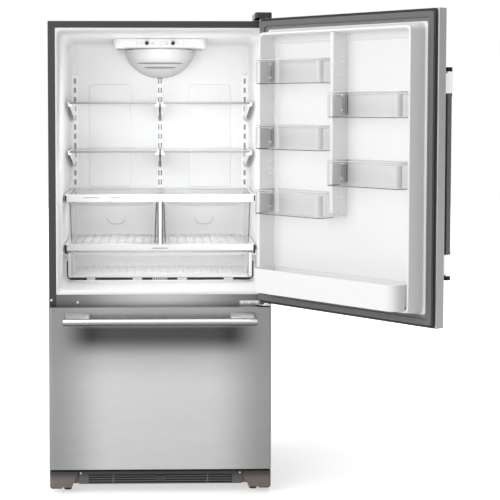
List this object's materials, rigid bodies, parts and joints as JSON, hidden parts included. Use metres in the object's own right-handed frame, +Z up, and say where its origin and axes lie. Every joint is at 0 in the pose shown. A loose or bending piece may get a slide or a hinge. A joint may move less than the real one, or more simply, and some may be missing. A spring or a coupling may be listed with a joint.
{
  "type": "bottom freezer refrigerator",
  "caption": "Free-standing refrigerator with one hinged door above a pull-out freezer drawer, glass shelves, crispers, door bins, bar handles and a louvred base.",
  "frame": {"origin": "on the floor, midway between the cabinet's sides, below the front face of the cabinet's flange", "axes": "+X to the right and +Z up as seen from the front, +Y towards the back"},
  "size_m": [1.3836, 1.374, 1.798],
  "materials": {
    "cabinet_paint": "satin",
    "steel_sheet": "satin",
    "stainless": "brushed",
    "handle_steel": "satin",
    "hinge_steel": "satin",
    "slide_steel": "satin",
    "liner_white": "satin",
    "white_metal": "satin",
    "white_plastic": "gloss",
    "dark_plastic": "matte",
    "cover_black": "matte",
    "knob_black": "satin",
    "gasket_grey": "matte",
    "clear_plastic": "gloss",
    "frosted_plastic": "satin",
    "shelf_glass": "gloss",
    "foam": "matte",
    "compressor_black": "satin",
    "condenser_metal": "matte",
    "fin_aluminium": "satin",
    "grey_plastic": "matte",
    "zinc": "satin"
  },
  "bodies": {
    "cabinet": {"cabinet_shell": "cabinet_paint", "mullion": "cabinet_paint", "chassis": "steel_sheet", "rear_panel": "steel_sheet", "fresh_food_liner": "liner_white", "freezer_liner": "liner_white", "cabinet_foam": "foam", "top_hinge": "hinge_steel", "hinge_cover": "cover_black", "center_hinge": "hinge_steel", "shelf_tracks": "white_metal", "shelf_frames_upper": "white_metal", "shelf_frames_lower": "white_metal", "glass_panes": "shelf_glass", "crisper_cover": "white_plastic", "pantry_cover": "white_plastic", "control_housing": "white_plastic", "light_diffuser": "frosted_plastic", "outer_slides": "slide_steel", "base_grille": "dark_plastic", "foot_covers": "dark_plastic", "compressor": "compressor_black", "condenser": "condenser_metal", "drain_pan": "cover_black", "machine_cover": "steel_sheet", "evaporator": "fin_aluminium", "evaporator_cover": "white_plastic"},
    "refrigerator_door": {"door_skin": "stainless", "door_foam": "foam", "door_liner": "liner_white", "door_gasket": "gasket_grey", "door_handle": "handle_steel", "hinge_bushings": "grey_plastic"},
    "freezer_drawer": {"drawer_skin": "stainless", "drawer_foam": "foam", "drawer_liner": "liner_white", "drawer_gasket": "gasket_grey", "drawer_handle": "handle_steel", "inner_slides": "slide_steel", "lower_basket": "white_plastic"},
    "door_bin_1": {"door_bin_1": "clear_plastic"},
    "door_bin_2": {"door_bin_2": "clear_plastic"},
    "door_bin_3": {"door_bin_3": "clear_plastic"},
    "door_bin_4": {"door_bin_4": "clear_plastic"},
    "door_bin_5": {"door_bin_5": "clear_plastic"},
    "gallon_bin": {"gallon_bin": "white_plastic"},
    "middle_slides": {"middle_slides": "slide_steel"},
    "upper_basket": {"upper_basket": "white_plastic"},
    "crisper_left": {"crisper_left": "clear_plastic"},
    "crisper_right": {"crisper_right": "clear_plastic"},
    "pantry_drawer": {"pantry_drawer": "clear_plastic"},
    "humidity_left": {"humidity_left": "white_plastic"},
    "humidity_right": {"humidity_right": "white_plastic"},
    "knob_left": {"knob_left": "knob_black"},
    "knob_right": {"knob_right": "knob_black"},
    "light_switch": {"light_switch": "white_plastic"},
    "leg_left": {"leg_left": "zinc"},
    "leg_right": {"leg_right": "zinc"},
    "rear_rollers": {"rear_rollers": "grey_plastic"},
    "condenser_fan": {"condenser_fan": "cover_black"}
  },
  "joints": [
    {"name": "door_hinge", "type": "hinge", "parent": "cabinet", "child": "refrigerator_door", "pos_m": [0.395, -0.033, 1.2], "axis": [0, 0, 1], "range_deg": [-130.6, 4.4]},
    {"name": "freezer_drawer_slide", "type": "slide", "parent": "cabinet", "child": "freezer_drawer", "axis": [0, -1, 0], "range_m": [0, 0.44]},
    {"name": "middle_slide", "type": "slide", "parent": "cabinet", "child": "middle_slides", "axis": [0, -1, 0], "range_m": [0, 0.22]},
    {"name": "upper_basket_slide", "type": "slide", "parent": "freezer_drawer", "child": "upper_basket", "axis": [0, 1, 0], "range_m": [0, 0.13]},
    {"name": "crisper_left_slide", "type": "slide", "parent": "cabinet", "child": "crisper_left", "axis": [0, -1, 0], "range_m": [0, 0.26]},
    {"name": "crisper_right_slide", "type": "slide", "parent": "cabinet", "child": "crisper_right", "axis": [0, -1, 0], "range_m": [0, 0.26]},
    {"name": "pantry_drawer_slide", "type": "slide", "parent": "cabinet", "child": "pantry_drawer", "axis": [0, -1, 0], "range_m": [0, 0.26]},
    {"name": "humidity_left_slide", "type": "slide", "parent": "cabinet", "child": "humidity_left", "axis": [1, 0, 0], "range_m": [0, 0.04]},
    {"name": "humidity_right_slide", "type": "slide", "parent": "cabinet", "child": "humidity_right", "axis": [1, 0, 0], "range_m": [0, 0.04]},
    {"name": "knob_left_turn", "type": "hinge", "parent": "cabinet", "child": "knob_left", "pos_m": [-0.0515, 0.33, 1.7], "axis": [0, -1, 0], "range_deg": [-135, 135]},
    {"name": "knob_right_turn", "type": "hinge", "parent": "cabinet", "child": "knob_right", "pos_m": [0.0515, 0.33, 1.7], "axis": [0, -1, 0], "range_deg": [-135, 135]},
    {"name": "light_switch_press", "type": "slide", "parent": "cabinet", "child": "light_switch", "axis": [0, 1, 0], "range_m": [0, 0.003], "stiffness_N_per_m": 300, "springref_m": -0.001},
    {"name": "leg_left_turn", "type": "hinge", "parent": "cabinet", "child": "leg_left", "pos_m": [-0.352, 0.042, 0.04], "axis": [0, 0, 1], "continuous": true},
    {"name": "leg_right_turn", "type": "hinge", "parent": "cabinet", "child": "leg_right", "pos_m": [0.352, 0.042, 0.04], "axis": [0, 0, 1], "continuous": true},
    {"name": "rear_rollers_spin", "type": "hinge", "parent": "cabinet", "child": "rear_rollers", "pos_m": [0, 0.64, 0.025], "axis": [1, 0, 0], "continuous": true},
    {"name": "condenser_fan_spin", "type": "hinge", "parent": "cabinet", "child": "condenser_fan", "pos_m": [-0.05, 0.6, 0.15], "axis": [1, 0, 0], "continuous": true},
    {"name": "door_bin_1_lift", "type": "slide", "parent": "refrigerator_door", "child": "door_bin_1", "axis": [0, 0, 1], "range_m": [0, 0.02]},
    {"name": "door_bin_2_lift", "type": "slide", "parent": "refrigerator_door", "child": "door_bin_2", "axis": [0, 0, 1], "range_m": [0, 0.02]},
    {"name": "door_bin_3_lift", "type": "slide", "parent": "refrigerator_door", "child": "door_bin_3", "axis": [0, 0, 1], "range_m": [0, 0.02]},
    {"name": "door_bin_4_lift", "type": "slide", "parent": "refrigerator_door", "child": "door_bin_4", "axis": [0, 0, 1], "range_m": [0, 0.02]},
    {"name": "door_bin_5_lift", "type": "slide", "parent": "refrigerator_door", "child": "door_bin_5", "axis": [0, 0, 1], "range_m": [0, 0.02]},
    {"name": "gallon_bin_lift", "type": "slide", "parent": "refrigerator_door", "child": "gallon_bin", "axis": [0, 0, 1], "range_m": [0, 0.02]}
  ],
  "couplings": [
    {"joint": "middle_slide", "follows": "freezer_drawer_slide", "ratio": 0.5}
  ]
}
